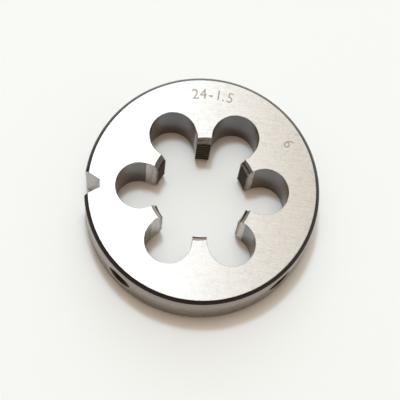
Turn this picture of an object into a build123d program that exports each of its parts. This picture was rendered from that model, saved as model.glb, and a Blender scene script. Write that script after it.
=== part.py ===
from build123d import *
import os
from math import ceil, cos, floor, radians, sin, tan

# A round threading die: one hardened and ground disc of steel. Six clearance holes open into
# its middle and leave six lands, which carry the thread. Both faces have a lead chamfer.
# Millimetres, Z up. The origin is on the axis, in the plane of the lower face. The adjusting
# notch points to -X and the marked face, where the die starts to cut, is the upper one.

# Body, which seats in the bore of a die stock
body_dia = 55.0
body_thickness = 16.0
rim_chamfer_width = 0.84        # along each face
rim_chamfer_depth = 1.04        # along the rim

# Metric thread on the lands, right-handed
thread_dia = 24.0
thread_pitch = 1.5
flank_angle = 60.0              # between the two sides of a groove
thread_start = -0.08            # height of a groove's middle in the direction of +X

# Lead chamfer at each end of the thread
mouth_clearance = 0.5           # of its mouth, outside the groove floors
mouth_depth = 2.0
lead_relief = 4.0               # turn that clears it towards the heel of the land, in degrees

# Clearance holes, and the ground faces that they leave on each land
land_count = 6
hole_dia = 11.08
hole_clearance = 2.71           # of the hole centres, outside the groove floors
heel_face_lean = 3.6            # from the land's middle line, in degrees
cutting_face_depth = 0.23       # into the land, past the wall of the hole
cutting_wheel_dia = 5.2         # rounds the outer end of the cutting face

# Adjusting notch in the rim, in line with one clearance hole
notch_angle = 60.0              # between its walls
notch_floor = 1.9
notch_depth = 3.6               # from the rim to the floor
notch_direction = 180.0

# Conical recesses in the rim for the screws of the die stock
recess_dia = 7.4                # where the cone meets the rim
recess_angle = 90.0             # point angle of the cone
recess_flat_dia = 0.8           # blunt tip
recess_height = 7.4             # of its axis above the lower face
recess_offsets = (48.0, 135.5)  # from the notch, to both sides of it, in degrees

# Shares of the metric thread profile, and the distance that a cutter runs past a surface
sharp_depth_share = 5 / 8       # groove depth over the height of the sharp triangle
root_share = 1 / 8              # groove floor over the pitch
overrun = 1.0
crest_overrun = 0.1             # of a groove cutter, inward past the crests

body_radius = body_dia / 2
hole_radius = hole_dia / 2
thread_radius = thread_dia / 2
mouth_radius = thread_radius + mouth_clearance
hole_circle_radius = thread_radius + hole_clearance
land_pitch = 360 / land_count
land_angles = [(land + 0.5) * land_pitch for land in range(land_count)]
flank_slope = tan(radians(flank_angle / 2))
sharp_height = thread_pitch / 2 / flank_slope
groove_depth = sharp_depth_share * sharp_height
crest_radius = thread_radius - groove_depth


def polar(radius, angle):
    return Vector(radius * cos(radians(angle)), radius * sin(radians(angle)))


def ring():
    """Disc and plain bore in one turn, with the chamfered rim outside and the crests inside.

    The turn starts in the direction of the notch, which takes its seam away from the rim.
    """
    rim_edge = body_radius - rim_chamfer_width
    section = Polygon(
        (crest_radius, 0),
        (rim_edge, 0),
        (body_radius, rim_chamfer_depth),
        (body_radius, body_thickness - rim_chamfer_depth),
        (rim_edge, body_thickness),
        (crest_radius, body_thickness),
        align=None,
    )
    return Rot(0, 0, notch_direction) * revolve(Plane.XZ * section, Axis.Z)


def heel_face():
    """Wedge between the hole on +X and the flat that is ground on the land above it.

    The flat starts tangent to the hole and leans from the land's middle line.
    """
    centre = polar(hole_circle_radius, 0)
    tangent_angle = 90 + land_pitch / 2 - heel_face_lean
    start = centre + polar(hole_radius, tangent_angle)
    end = start + polar(hole_circle_radius, tangent_angle + 90)
    return make_face(Polyline(centre, start, end, close=True))


def cutting_face():
    """Track of the wheel that grinds the cutting face, from inside the bore to its stop in a hole.

    The land lies on +X here. The face is on its upper side, parallel to the land's middle line.
    """
    hole_centre = polar(hole_circle_radius, land_pitch / 2)
    wheel_radius = cutting_wheel_dia / 2
    wheel_height = hole_centre.Y - hole_radius - cutting_face_depth + wheel_radius
    track = Pos(hole_centre.X / 2, wheel_height) * Rectangle(hole_centre.X, cutting_wheel_dia)
    return track + Pos(hole_centre.X, wheel_height) * Circle(wheel_radius)


def clearance_hole():
    """Cutter for one clearance hole on +X, with the ground faces on both neighbouring lands."""
    outline = Pos(hole_circle_radius, 0) * Circle(hole_radius)
    outline += heel_face()
    outline += Rot(0, 0, -land_pitch / 2) * cutting_face()
    return Pos(0, 0, -overrun) * extrude(outline, body_thickness + 2 * overrun)


def lead_chamfer():
    """Cutter for the upper lead chamfer of one land on +X: a sector of a cone.

    It is turned about the middle of the land's mouth, so that it is tightest at the cutting face
    and clears towards the heel.
    """
    run = overrun * (mouth_radius - crest_radius) / mouth_depth
    low = body_thickness - mouth_depth - overrun
    high = body_thickness + overrun
    section = Polygon(
        (0, low),
        (crest_radius - run, low),
        (mouth_radius + run, high),
        (0, high),
        align=None,
    )
    sector = Rot(0, 0, -land_pitch / 2) * revolve(Plane.XZ * section, Axis.Z, land_pitch)
    return Pos(mouth_radius, 0) * Rot(0, 0, lead_relief) * Pos(-mouth_radius, 0) * sector


def lead_chamfers():
    """Lead chamfers of all lands. Turned over, the die cuts with the other side of each land."""
    upper = lead_chamfer()
    lower = Pos(0, 0, body_thickness) * Rot(180, 0, 0) * upper
    return [Rot(0, 0, angle) * cutter for angle in land_angles for cutter in (upper, lower)]


def groove_piece():
    """Cutter for one thread groove across one land on +X: a short stretch of the helix."""
    arc = land_pitch / 2
    rise = thread_pitch * arc / 360
    floor_half = root_share * thread_pitch / 2
    open_half = floor_half + (groove_depth + crest_overrun) * flank_slope
    section = Polygon(
        (-crest_overrun, -open_half),
        (groove_depth, -floor_half),
        (groove_depth, floor_half),
        (-crest_overrun, open_half),
        align=None,
    )
    start = Rot(0, 0, -arc / 2) * Pos(0, 0, -rise / 2)
    path = start * Helix(thread_pitch, rise, crest_radius)
    profile = start * (Plane.XZ * Pos(crest_radius, 0) * section)
    return sweep(profile, path=path, is_frenet=True)


def thread_grooves():
    """All groove cutters: each land's lie on the same helix as its neighbours'."""
    piece = groove_piece()
    cutters = []
    for angle in land_angles:
        height = thread_start + thread_pitch * angle / 360
        first = floor(-height / thread_pitch)
        last = ceil((body_thickness - height) / thread_pitch)
        for turn in range(first, last + 1):
            cutters.append(Pos(0, 0, height + turn * thread_pitch) * Rot(0, 0, angle) * piece)
    return cutters


def notch():
    """Cutter for the adjusting notch on +X: flat floor, straight leaning walls, right through."""
    wall_slope = tan(radians(notch_angle / 2))
    floor_radius = body_radius - notch_depth
    outer_radius = body_radius + overrun
    outer_half = notch_floor / 2 + (outer_radius - floor_radius) * wall_slope
    outline = make_face(Polyline(
        (floor_radius, -notch_floor / 2),
        (outer_radius, -outer_half),
        (outer_radius, outer_half),
        (floor_radius, notch_floor / 2),
        close=True,
    ))
    return Pos(0, 0, -overrun) * extrude(outline, body_thickness + 2 * overrun)


def recess():
    """Cutter for one conical screw recess, entering the rim along -X."""
    slope = tan(radians(recess_angle / 2))
    depth = (recess_dia - recess_flat_dia) / 2 / slope
    outer_radius = recess_dia / 2 + overrun * slope
    cone = Cone(recess_flat_dia / 2, outer_radius, depth + overrun)
    middle = body_radius + (overrun - depth) / 2
    return Pos(middle, 0, recess_height) * Rot(0, 90, 0) * cone


def threading_die():
    die = ring()
    die -= lead_chamfers()
    die -= [Rot(0, 0, land_pitch * hole) * clearance_hole() for hole in range(land_count)]
    die -= thread_grooves()
    die -= Rot(0, 0, notch_direction) * notch()
    recess_angles = [notch_direction + side * offset for offset in recess_offsets for side in (1, -1)]
    die -= [Rot(0, 0, angle) * recess() for angle in recess_angles]
    return die


die = threading_die()
os.makedirs("parts", exist_ok=True)
export_step(die, "parts/threading_die.step")
print("threading_die", round(die.volume / 1000, 2), "cm3", len(die.faces()), "faces")
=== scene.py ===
from math import cos, hypot, radians, sin

import bmesh
import bpy
from mathutils import Matrix, Vector


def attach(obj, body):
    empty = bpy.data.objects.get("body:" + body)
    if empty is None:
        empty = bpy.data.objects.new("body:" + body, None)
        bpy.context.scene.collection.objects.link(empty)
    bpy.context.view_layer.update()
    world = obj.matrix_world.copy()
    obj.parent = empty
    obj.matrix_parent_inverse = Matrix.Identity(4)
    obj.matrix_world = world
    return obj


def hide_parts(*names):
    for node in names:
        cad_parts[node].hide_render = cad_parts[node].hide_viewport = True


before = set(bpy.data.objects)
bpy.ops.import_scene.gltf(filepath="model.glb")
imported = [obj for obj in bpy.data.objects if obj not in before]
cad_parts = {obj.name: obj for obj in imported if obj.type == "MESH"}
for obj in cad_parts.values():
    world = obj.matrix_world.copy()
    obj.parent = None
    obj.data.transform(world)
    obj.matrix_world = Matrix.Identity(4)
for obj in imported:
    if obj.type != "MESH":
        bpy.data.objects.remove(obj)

mm = 0.001
scene = bpy.context.scene
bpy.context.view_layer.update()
print("frame loaded")


# the finishes of the die
# edge: share of the usual reflection that is left where a surface is seen almost along itself
# contrast and spread: how far the grain varies the tone and the roughness
# stain: how much the blotches darken; bump: height of the grain, in millimetres
# stretch: how fast the tool marks change along x, y and z, per millimetre; low means a long mark
# turn: angle of the tool marks about z, in degrees
# turn is 0 and metallic is 1 where they aren't given
surfaceLooks = {
    "groundFace": {"color": (0.49, 0.478, 0.463), "edge": 1.0, "contrast": 0.34,
                   "roughness": 0.50, "spread": 0.10, "stretch": (0.12, 2.6, 1.0), "turn": -6.0,
                   "bump": 0.0006, "stain": 0.14, "anisotropic": 1.0},
    "rimPolish": {"color": (0.25, 0.21, 0.175), "edge": 1.0, "contrast": 0.10,
                  "roughness": 0.28, "spread": 0.05, "stretch": (0.05, 0.05, 6.0),
                  "bump": 0.0003, "stain": 0.08},
    "rimChamfer": {"color": (0.028, 0.019, 0.018), "edge": 1.0, "contrast": 0.25,
                   "roughness": 0.14, "spread": 0.10, "stretch": (0.15, 0.15, 9.0),
                   "bump": 0.0020, "stain": 0.25},
    # the recess cones get a near-black colour, darker than the steel: painted shade, the shade
    # inside the recesses put into their colour
    "recessCone": {"color": (0.040, 0.028, 0.025), "edge": 0.8, "contrast": 0.30,
                   "roughness": 0.38, "spread": 0.12, "stretch": (1.5, 1.5, 1.5),
                   "bump": 0.0040, "stain": 0.30},
    "notchWall": {"color": (0.50, 0.475, 0.46), "edge": 0.8, "contrast": 0.12,
                  "roughness": 0.34, "spread": 0.12, "stretch": (4.0, 4.0, 0.15),
                  "bump": 0.0025, "stain": 0.20},
    "holeWall": {"color": (0.048, 0.045, 0.042), "edge": 1.0, "contrast": 0.20,
                 "roughness": 0.13, "spread": 0.08, "stretch": (0.4, 0.4, 3.5),
                 "bump": 0.0015, "stain": 0.20},
    "landFlank": {"color": (0.74, 0.69, 0.64), "edge": 0.7, "contrast": 0.22,
                  "roughness": 0.28, "spread": 0.10, "stretch": (3.0, 3.0, 0.10),
                  "bump": 0.0020, "stain": 0.10},
    "leadChamfer": {"color": (0.86, 0.73, 0.64), "edge": 0.95, "contrast": 0.22,
                    "roughness": 0.33, "spread": 0.12, "stretch": (0.3, 0.3, 6.0),
                    "bump": 0.0025, "stain": 0.20, "metallic": 0.9},
    "threadCut": {"color": (0.075, 0.052, 0.034), "edge": 0.45, "contrast": 0.25,
                  "roughness": 0.40, "spread": 0.12, "stretch": (1.0, 1.0, 4.0),
                  "bump": 0.0025, "stain": 0.30, "metallic": 0.85},
    "threadCrest": {"color": (0.12, 0.088, 0.064), "edge": 0.5, "contrast": 0.25,
                    "roughness": 0.35, "spread": 0.10, "stretch": (1.0, 1.0, 4.0),
                    "bump": 0.0020, "stain": 0.20, "metallic": 0.85},
    "brokenEdge": {"color": (0.40, 0.38, 0.36), "edge": 0.8, "contrast": 0.15,
                   "roughness": 0.34, "spread": 0.10, "stretch": (2.0, 2.0, 2.0),
                   "bump": 0.0015, "stain": 0.10},
    "etchedMark": {"color": (0.22, 0.19, 0.165), "edge": 0.8, "contrast": 0.30,
                   "roughness": 0.55, "spread": 0.15, "stretch": (6.0, 6.0, 6.0),
                   "bump": 0.0040, "stain": 0.20},
}
surfaceNames = list(surfaceLooks)

# one grain for all finishes; the scales of specks and blotches are per metre
# middle is the mean of a noise, and gain brings its usual swing to about 1
steelGrain = {"toolMarks": {"Scale": 1.0, "Detail": 5.0, "Roughness": 0.65},
              "specks": {"Scale": 2200.0, "Detail": 2.0},
              "blotches": {"Scale": 800.0, "Detail": 6.0},
              "markShare": 0.55, "speckShare": 0.45, "middle": 0.5, "gain": 4.0}


def feed(tree, value, socket):
    # another node's output is linked to the socket, a plain value is set on it
    if isinstance(value, bpy.types.NodeSocket):
        tree.links.new(value, socket)
    else:
        socket.default_value = value


def mathNode(tree, operation, first, second, clamp=False):
    node = tree.nodes.new("ShaderNodeMath")
    node.operation = operation
    node.use_clamp = clamp
    feed(tree, first, node.inputs[0])
    feed(tree, second, node.inputs[1])
    return node.outputs[0]


def noiseNode(tree, settings, coords):
    node = tree.nodes.new("ShaderNodeTexNoise")
    for name, value in settings.items():
        node.inputs[name].default_value = value
    tree.links.new(coords, node.inputs["Vector"])
    return node.outputs["Fac"]


def swingNode(tree, noise, clamp=False):
    # a noise about its middle; clamped, only its upper half is left
    centred = mathNode(tree, "SUBTRACT", noise, steelGrain["middle"], clamp)
    return mathNode(tree, "MULTIPLY", centred, steelGrain["gain"])


def makeGrainGroup():
    # tool marks and specks move tone, roughness and height together; blotches only darken
    group = bpy.data.node_groups.new("steelGrain", "ShaderNodeTree")
    sockets = {"INPUT": {"Vector": "Vector", "Place": "Vector", "Steel": "Color",
                         "Contrast": "Float", "Roughness": "Float", "Spread": "Float",
                         "Stain": "Float"},
               "OUTPUT": {"Color": "Color", "Roughness": "Float", "Height": "Float"}}
    for direction, kinds in sockets.items():
        for name, kind in kinds.items():
            group.interface.new_socket(name=name, in_out=direction,
                                       socket_type="NodeSocket" + kind)
    into = group.nodes.new("NodeGroupInput").outputs
    out = group.nodes.new("NodeGroupOutput").inputs

    toolMarks = noiseNode(group, steelGrain["toolMarks"], into["Vector"])
    specks = noiseNode(group, steelGrain["specks"], into["Place"])
    blotches = noiseNode(group, steelGrain["blotches"], into["Place"])
    height = mathNode(group, "ADD",
                      mathNode(group, "MULTIPLY", toolMarks, steelGrain["markShare"]),
                      mathNode(group, "MULTIPLY", specks, steelGrain["speckShare"]))
    swing = swingNode(group, height)
    tone = mathNode(group, "ADD", mathNode(group, "MULTIPLY", swing, into["Contrast"]), 1.0)
    stain = mathNode(group, "MULTIPLY", swingNode(group, blotches, True), into["Stain"])
    clean = mathNode(group, "SUBTRACT", 1.0, stain)
    rough = mathNode(group, "ADD", into["Roughness"],
                     mathNode(group, "MULTIPLY", swing, into["Spread"]), True)

    tint = group.nodes.new("ShaderNodeVectorMath")
    tint.operation = "SCALE"
    group.links.new(into["Steel"], tint.inputs[0])
    group.links.new(mathNode(group, "MULTIPLY", tone, clean), tint.inputs["Scale"])
    group.links.new(tint.outputs[0], out["Color"])
    group.links.new(rough, out["Roughness"])
    group.links.new(height, out["Height"])
    return group


def makeSteel(name, look, grainGroup):
    material = bpy.data.materials.new(name)
    material.use_nodes = True
    tree = material.node_tree
    shader = tree.nodes["Principled BSDF"]
    shader.inputs["Metallic"].default_value = look.get("metallic", 1.0)
    shader.inputs["Specular Tint"].default_value = (look["edge"], look["edge"], look["edge"], 1.0)

    coords = tree.nodes.new("ShaderNodeTexCoord")
    mapping = tree.nodes.new("ShaderNodeMapping")
    mapping.vector_type = "TEXTURE"      # turns before it scales, so the marks themselves turn
    mapping.inputs["Rotation"].default_value[2] = radians(look.get("turn", 0.0))
    mapping.inputs["Scale"].default_value = [mm / rate for rate in look["stretch"]]
    tree.links.new(coords.outputs["Object"], mapping.inputs["Vector"])

    grain = tree.nodes.new("ShaderNodeGroup")
    grain.node_tree = grainGroup
    grain.inputs["Steel"].default_value = (*look["color"], 1.0)
    for socket in ("Contrast", "Roughness", "Spread", "Stain"):
        grain.inputs[socket].default_value = look[socket.lower()]
    tree.links.new(mapping.outputs["Vector"], grain.inputs["Vector"])
    tree.links.new(coords.outputs["Object"], grain.inputs["Place"])
    tree.links.new(grain.outputs["Color"], shader.inputs["Base Color"])
    tree.links.new(grain.outputs["Roughness"], shader.inputs["Roughness"])

    bump = tree.nodes.new("ShaderNodeBump")
    bump.inputs["Strength"].default_value = 1.0
    bump.inputs["Distance"].default_value = look["bump"] * mm
    tree.links.new(grain.outputs["Height"], bump.inputs["Height"])
    tree.links.new(bump.outputs["Normal"], shader.inputs["Normal"])

    if "anisotropic" in look:
        # grinding marks spread a highlight across themselves
        shader.inputs["Anisotropic"].default_value = look["anisotropic"]
        across = tree.nodes.new("ShaderNodeTangent")
        across.direction_type = "UV_MAP"
        across.uv_map = "acrossGrind"
        tree.links.new(across.outputs["Tangent"], shader.inputs["Tangent"])
    return material


grainGroup = makeGrainGroup()
steels = {name: makeSteel(name, look, grainGroup) for name, look in surfaceLooks.items()}
print("materials made:", len(steels))


# sizes of the solid in millimetres, and limits that lie between its surfaces: wallReach outside
# the hole walls, notchReach just inside the notch's floor, notchHalf to both sides of the notch
# sharpAngle is in degrees, and an edge that bends more shades sharp
die = {"height": 16.0, "rimRadius": 27.5, "holeCount": 6, "holeRadius": 5.54,
       "holeCircle": 14.71, "grooveRadius": 12.0, "crestRadius": 11.188, "mouthRadius": 12.5,
       "mouthDepth": 2.0, "wallReach": 21.8, "notchReach": 23.6, "notchHalf": 3.6,
       "merge": 0.0005, "sharpAngle": 20.0}

# what tells the finishes apart: slacks and widths in millimetres, and shares of a unit normal
sorting = {"upright": 0.02, "level": 0.99, "inward": 0.8, "leadNormal": (0.5, 0.6),
           "faceSlack": 0.01, "mouthSlack": 0.15, "grooveSlack": 0.1, "crestSlack": 0.05,
           "circleSlack": 0.02, "chamferWidth": 0.9, "chamferDepth": 1.1}

# edges between two finishes are worn round as the rim is polished, or broken with a stone
# the cutting edges stay sharp; a profile of 0.5 is part of a circle
edgeStyles = (
    {"width": 0.25, "steps": 4, "profile": 0.5, "finish": "rimPolish",
     "between": ({"rimPolish", "recessCone"},)},
    {"width": 0.05, "steps": 1, "profile": 0.5, "finish": "brokenEdge",
     "between": ({"groundFace", "holeWall"}, {"groundFace", "rimChamfer"},
                 {"rimChamfer", "rimPolish"}, {"rimPolish", "notchWall"},
                 {"groundFace", "notchWall"}, {"rimChamfer", "notchWall"},
                 {"groundFace", "landFlank"})},
)


def nearestHole(point):
    pitch = 360 / die["holeCount"]
    holes = [Vector((die["holeCircle"] * cos(radians(pitch * turn)),
                     die["holeCircle"] * sin(radians(pitch * turn)), 0))
             for turn in range(die["holeCount"])]
    return min(holes, key=lambda hole: hypot(point.x - hole.x, point.y - hole.y))


def surfaceOf(face):
    # which finish a face has, from where it lies and which way it points
    centre = face.calc_center_median() / mm
    corners = [vert.co / mm for vert in face.verts]
    normal = face.normal
    radius = hypot(centre.x, centre.y)
    depth = min(centre.z, die["height"] - centre.z)       # from the nearer ground face
    upright = abs(normal.z) < sorting["upright"]
    if abs(normal.z) > sorting["level"] and depth < sorting["faceSlack"]:
        return "groundFace"
    if radius < die["mouthRadius"] + sorting["mouthSlack"] and not upright:
        flattest, steepest = sorting["leadNormal"]
        onCone = depth < die["mouthDepth"] and flattest < abs(normal.z) < steepest
        return "leadChamfer" if onCone else "threadCut"
    inward = -(normal.x * centre.x + normal.y * centre.y) / radius
    onThread = radius < die["grooveRadius"] + sorting["grooveSlack"]
    if upright and onThread and inward > sorting["inward"]:
        onCrest = radius < die["crestRadius"] + sorting["crestSlack"]
        return "threadCrest" if onCrest else "threadCut"
    if upright and radius < die["wallReach"]:
        hole = nearestHole(centre)
        offWall = max(abs(hypot(corner.x - hole.x, corner.y - hole.y) - die["holeRadius"])
                      for corner in corners)
        return "holeWall" if offWall < sorting["circleSlack"] else "landFlank"
    rimLimit = die["rimRadius"] - sorting["circleSlack"]
    if upright and all(hypot(corner.x, corner.y) > rimLimit for corner in corners):
        return "rimPolish"
    if upright and centre.x < -die["notchReach"] and abs(centre.y) < die["notchHalf"]:
        return "notchWall"
    atRim = radius > die["rimRadius"] - sorting["chamferWidth"]
    onChamfer = not upright and atRim and depth < sorting["chamferDepth"]
    return "rimChamfer" if onChamfer else "recessCone"


def bevelEdges(bm, style):
    wanted = [edge for edge in bm.edges if len(edge.link_faces) == 2
              and {surfaceNames[face.material_index] for face in edge.link_faces}
              in style["between"]]
    result = bmesh.ops.bevel(bm, geom=wanted, offset=style["width"] * mm, offset_type="OFFSET",
                             affect="EDGES", segments=style["steps"], profile=style["profile"],
                             material=-1, clamp_overlap=True)
    for face in result["faces"]:
        face.material_index = surfaceNames.index(style["finish"])
        face.smooth = True
    print("edges finished:", len(wanted), "by", style["width"], "mm")


def makeDieMesh():
    # a copy of the solid without its seams, with its finishes told apart and its edges finished
    bm = bmesh.new()
    bm.from_mesh(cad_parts["threading_die"].data)
    bmesh.ops.remove_doubles(bm, verts=bm.verts, dist=die["merge"] * mm)
    bm.normal_update()
    for face in bm.faces:
        face.material_index = surfaceNames.index(surfaceOf(face))
        face.smooth = True
    for style in edgeStyles:
        bevelEdges(bm, style)
    print("die faces sorted:", len(bm.faces))
    mesh = bpy.data.meshes.new("threadingDieMesh")
    bm.to_mesh(mesh)
    bm.free()
    mesh.attributes.remove(mesh.attributes["custom_normal"])      # the solid's, wrong on new faces
    return mesh


def addGrindMap(mesh):
    # a flat map from above whose first direction runs along y, across the grinding marks
    grind = mesh.uv_layers.new(name="acrossGrind")
    for loop in mesh.loops:
        place = mesh.vertices[loop.vertex_index].co
        grind.uv[loop.index].vector = (place.y / mm, -place.x / mm)


def addObject(name, mesh):
    for surface in surfaceNames:
        mesh.materials.append(steels[surface])
    piece = bpy.data.objects.new(name, mesh)
    scene.collection.objects.link(piece)
    return piece


def evaluatedMesh(piece):
    bpy.context.view_layer.update()
    graph = bpy.context.evaluated_depsgraph_get()
    return bpy.data.meshes.new_from_object(piece.evaluated_get(graph))


# plain numbers on the ground face, each at its own angle round the axis, in degrees
# capUnits is the height of a built-in figure for a text size of 1; merge is in the same unit
marks = {"radius": 22.05, "capHeight": 2.45, "capUnits": 0.69, "depth": 0.03, "merge": 0.0005,
         "curveSteps": 4,
         "figures": (("2", 96.3), ("4", 91.6), ("-", 87.1), ("1", 82.7), (".", 79.6),
                     ("5", 75.8), ("6", 31.2))}


def makeFigure(character, angle):
    # a solid figure that stands half in the face, on the side of +Y until it is turned
    curve = bpy.data.curves.new("figure", "FONT")
    curve.body = character
    curve.align_x = "CENTER"
    curve.extrude = 0.5           # to both sides, so the figure is 1 thick
    curve.resolution_u = marks["curveSteps"]
    text = bpy.data.objects.new("figure", curve)
    scene.collection.objects.link(text)
    mesh = evaluatedMesh(text)
    bm = bmesh.new()
    bm.from_mesh(mesh)
    bmesh.ops.remove_doubles(bm, verts=bm.verts, dist=marks["merge"])
    bmesh.ops.dissolve_degenerate(bm, dist=marks["merge"], edges=bm.edges)
    size = marks["capHeight"] * mm / marks["capUnits"]
    place = (0, marks["radius"] * mm, die["height"] * mm)
    turn = Matrix.Rotation(radians(angle - 90), 3, "Z")
    bmesh.ops.scale(bm, vec=(size, size, 2 * marks["depth"] * mm), verts=bm.verts)
    bmesh.ops.translate(bm, vec=place, verts=bm.verts)
    bmesh.ops.rotate(bm, cent=(0, 0, 0), matrix=turn, verts=bm.verts)
    bmesh.ops.recalc_face_normals(bm, faces=bm.faces)
    bm.to_mesh(mesh)
    bm.free()
    bpy.data.objects.remove(text)
    bpy.data.curves.remove(curve)
    return mesh


def makeMarkCutter():
    bm = bmesh.new()
    for character, angle in marks["figures"]:
        figure = makeFigure(character, angle)
        bm.from_mesh(figure)
        bpy.data.meshes.remove(figure)
    for face in bm.faces:
        face.material_index = surfaceNames.index("etchedMark")
        face.smooth = False
    mesh = bpy.data.meshes.new("markCutter")
    bm.to_mesh(mesh)
    bm.free()
    return mesh


def cutMarks(piece):
    cutter = addObject("markCutter", makeMarkCutter())
    cut = piece.modifiers.new("marks", "BOOLEAN")
    cut.operation = "DIFFERENCE"
    cut.solver = "EXACT"
    cut.object = cutter
    bareMesh = piece.data
    markedMesh = evaluatedMesh(piece)
    piece.modifiers.clear()
    piece.data = markedMesh
    bpy.data.meshes.remove(bareMesh)
    bpy.data.objects.remove(cutter)


dieObject = addObject("threadingDie", makeDieMesh())
cutMarks(dieObject)
dieObject.data.set_sharp_from_angle(angle=radians(die["sharpAngle"]))
addGrindMap(dieObject.data)
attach(dieObject, "root")
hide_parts("threading_die")
print("die made:", len(dieObject.data.polygons), "faces")


floorLook = {"size": 3.0, "color": (0.90, 0.90, 0.885), "roughness": 0.6, "specular": 0.0}


def makeFloor():
    bm = bmesh.new()
    bmesh.ops.create_grid(bm, x_segments=1, y_segments=1, size=floorLook["size"] / 2)
    mesh = bpy.data.meshes.new("floor")
    bm.to_mesh(mesh)
    bm.free()
    material = bpy.data.materials.new("paleFloor")
    material.use_nodes = True
    shader = material.node_tree.nodes["Principled BSDF"]
    shader.inputs["Base Color"].default_value = (*floorLook["color"], 1.0)
    shader.inputs["Roughness"].default_value = floorLook["roughness"]
    shader.inputs["Specular IOR Level"].default_value = floorLook["specular"]
    mesh.materials.append(material)
    floor = bpy.data.objects.new("floor", mesh)
    scene.collection.objects.link(floor)


# a small cool lamp behind and above, and a weak even light
# strengths and colors, here and in the room, are fitted to the photograph, but not the even one
light = {"place": (-0.030, 0.082, 0.549), "width": 0.043, "power": 1.08,
         "color": (0.605, 0.81, 1.0), "even": (0.15, 0.15, 0.15)}

# soft lights of the room: degrees above the floor, degrees round from +X, how narrow, color
roomLights = ((90, 0, 60, (6.37, 3.68, 2.15)),       # ceiling
              (84, 90, 200, (11.06, 11.16, 9.65)),   # beside the lamp
              (80, 90, 60, (4.15, 4.57, 4.31)),
              (50, 90, 14, (0.97, 1.15, 1.18)),      # behind
              (25, 90, 6, (0.44, 0.46, 0.45)),
              (68, 180, 30, (1.12, 0.96, 0.67)),     # left
              (50, 0, 14, (0.36, 0.36, 0.30)))       # right


def makeLamp():
    lamp = bpy.data.lights.new("keyLamp", "AREA")
    lamp.shape = "DISK"
    lamp.size = light["width"]
    lamp.energy = light["power"]
    lamp.color = light["color"]
    holder = bpy.data.objects.new("keyLamp", lamp)
    holder.location = light["place"]
    holder.rotation_euler = (-Vector(light["place"])).to_track_quat("-Z", "Y").to_euler()
    scene.collection.objects.link(holder)


def makeRoom():
    world = bpy.data.worlds.new("room")
    scene.world = world
    world.use_nodes = True
    tree = world.node_tree
    nodes, links = tree.nodes, tree.links
    coords = nodes.new("ShaderNodeTexCoord")
    total = light["even"]
    for above, around, narrow, color in roomLights:
        towards = nodes.new("ShaderNodeVectorMath")
        towards.operation = "DOT_PRODUCT"
        towards.inputs[1].default_value = (cos(radians(above)) * cos(radians(around)),
                                           cos(radians(above)) * sin(radians(around)),
                                           sin(radians(above)))
        links.new(coords.outputs["Generated"], towards.inputs[0])
        facing = mathNode(tree, "MAXIMUM", towards.outputs["Value"], 0.0)
        added = nodes.new("ShaderNodeVectorMath")
        added.operation = "MULTIPLY_ADD"
        added.inputs[0].default_value = color
        links.new(mathNode(tree, "POWER", facing, narrow), added.inputs[1])
        feed(tree, total, added.inputs[2])
        total = added.outputs[0]
    links.new(total, nodes["Background"].inputs["Color"])

    # the camera itself sees a white room behind the floor
    white = nodes.new("ShaderNodeBackground")
    white.inputs["Color"].default_value = (1.0, 1.0, 1.0, 1.0)
    path = nodes.new("ShaderNodeLightPath")
    either = nodes.new("ShaderNodeMixShader")
    links.new(path.outputs["Is Camera Ray"], either.inputs["Fac"])
    links.new(nodes["Background"].outputs[0], either.inputs[1])
    links.new(white.outputs[0], either.inputs[2])
    links.new(either.outputs[0], nodes["World Output"].inputs["Surface"])


# the photograph's camera: where it stood, and the directions of its right, up and back
# lens and sensor are in millimetres, place and clipStart in metres, shift is a share of the picture
view = {"place": (-0.01352790, -0.10366568, 0.38539368), "lens": 148.381, "sensor": 36.0,
        "shift": 0.00125, "clipStart": 0.01, "right": (0.99805189, 0.04103483, 0.04699541),
        "up": (-0.05192427, 0.96392516, 0.26105967), "back": (-0.03458751, -0.2629913, 0.96417803)}


def makeCamera():
    data = bpy.data.cameras.new("camera")
    data.lens = view["lens"]
    data.sensor_width = view["sensor"]
    data.shift_x = -view["shift"]
    data.shift_y = view["shift"]
    data.clip_start = view["clipStart"]
    camera = bpy.data.objects.new("camera", data)
    turn = Matrix((view["right"], view["up"], view["back"])).transposed().to_4x4()
    camera.matrix_world = Matrix.Translation(view["place"]) @ turn
    scene.collection.objects.link(camera)
    scene.camera = camera


makeFloor()
makeLamp()
makeRoom()
makeCamera()
scene.view_settings.view_transform = "Standard"
print("stage set")
